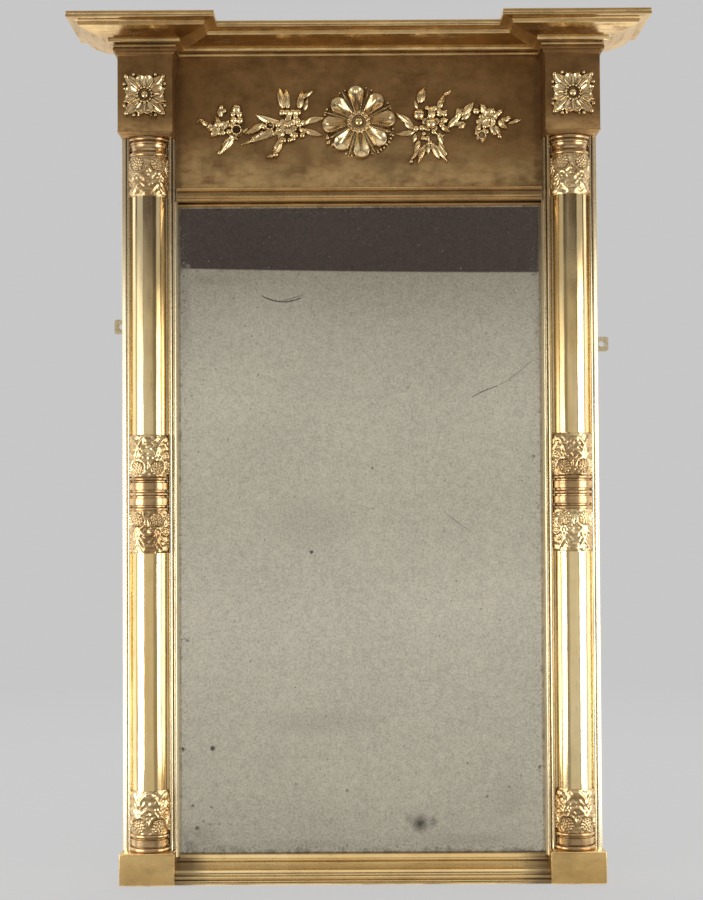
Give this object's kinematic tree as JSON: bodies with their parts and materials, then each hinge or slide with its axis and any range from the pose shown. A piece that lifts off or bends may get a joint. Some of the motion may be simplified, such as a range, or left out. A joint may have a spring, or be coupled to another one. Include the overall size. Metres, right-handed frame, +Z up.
{
  "type": "pier mirror",
  "caption": "Gilded upright pier mirror with turned half columns, corner blocks with rosettes, a flowered frieze and a breakfront moulded cornice.",
  "frame": {"origin": "middle of the width and of the depth, on the level of the plinths' feet", "axes": "+Z up, -Y out of the front (the way the mirror faces), +X to the viewer's right"},
  "size_m": [0.61, 0.11, 0.916],
  "materials": {
    "burnished_gilding": "burnished water gilding over red-brown bole and gesso on pine, rubbed and toned with age",
    "matt_gilding": "matt oil gilding toned dark, on pine",
    "gilt_composition": "gilded composition ornament with dark hollows",
    "pine": "unfinished pine, dry and dusty",
    "oak": "riven oak pegs",
    "silvered_glass": "old silvered plate, faintly foxed at the edges",
    "brass": "aged sheet brass",
    "iron": "dark wrought iron nails and screws"
  },
  "bodies": {
    "root": {"left_stile": "pine", "right_stile": "pine", "top_rail": "pine", "frieze_rail": "pine", "bottom_rail": "pine", "joint_pegs": "oak", "frieze_panel": "matt_gilding", "mirror_plate": "silvered_glass", "glazing_blocks": "pine", "backboard_upper": "pine", "backboard_middle": "pine", "backboard_lower": "pine", "backboard_nails": "iron", "left_pilaster_moulding": "burnished_gilding", "right_pilaster_moulding": "burnished_gilding", "head_moulding": "burnished_gilding", "bottom_moulding": "burnished_gilding", "left_plinth": "burnished_gilding", "right_plinth": "burnished_gilding", "left_die": "matt_gilding", "right_die": "matt_gilding", "left_base_rings": "burnished_gilding", "left_base_leaves": "gilt_composition", "left_lower_shaft": "burnished_gilding", "left_lower_collar": "gilt_composition", "left_reel": "burnished_gilding", "left_upper_collar": "gilt_composition", "left_upper_shaft": "burnished_gilding", "left_capital_leaves": "gilt_composition", "left_capital_rings": "burnished_gilding", "right_base_rings": "burnished_gilding", "right_base_leaves": "gilt_composition", "right_lower_shaft": "burnished_gilding", "right_lower_collar": "gilt_composition", "right_reel": "burnished_gilding", "right_upper_collar": "gilt_composition", "right_upper_shaft": "burnished_gilding", "right_capital_leaves": "gilt_composition", "right_capital_rings": "burnished_gilding", "cornice_centre": "burnished_gilding", "left_cornice_front": "burnished_gilding", "right_cornice_front": "burnished_gilding", "left_cornice_outer_return": "burnished_gilding", "right_cornice_outer_return": "burnished_gilding", "left_cornice_inner_return": "burnished_gilding", "right_cornice_inner_return": "burnished_gilding", "top_board": "burnished_gilding", "left_break_board": "burnished_gilding", "right_break_board": "burnished_gilding", "cornice_glue_blocks": "pine", "left_rosette": "gilt_composition", "right_rosette": "gilt_composition", "centre_flower": "gilt_composition", "left_inner_spray": "gilt_composition", "right_inner_spray": "gilt_composition", "left_outer_spray": "gilt_composition", "right_outer_spray": "gilt_composition", "left_hanging_plate": "brass", "right_hanging_plate": "brass", "hanging_plate_screws": "iron"}
  },
  "joints": []
}
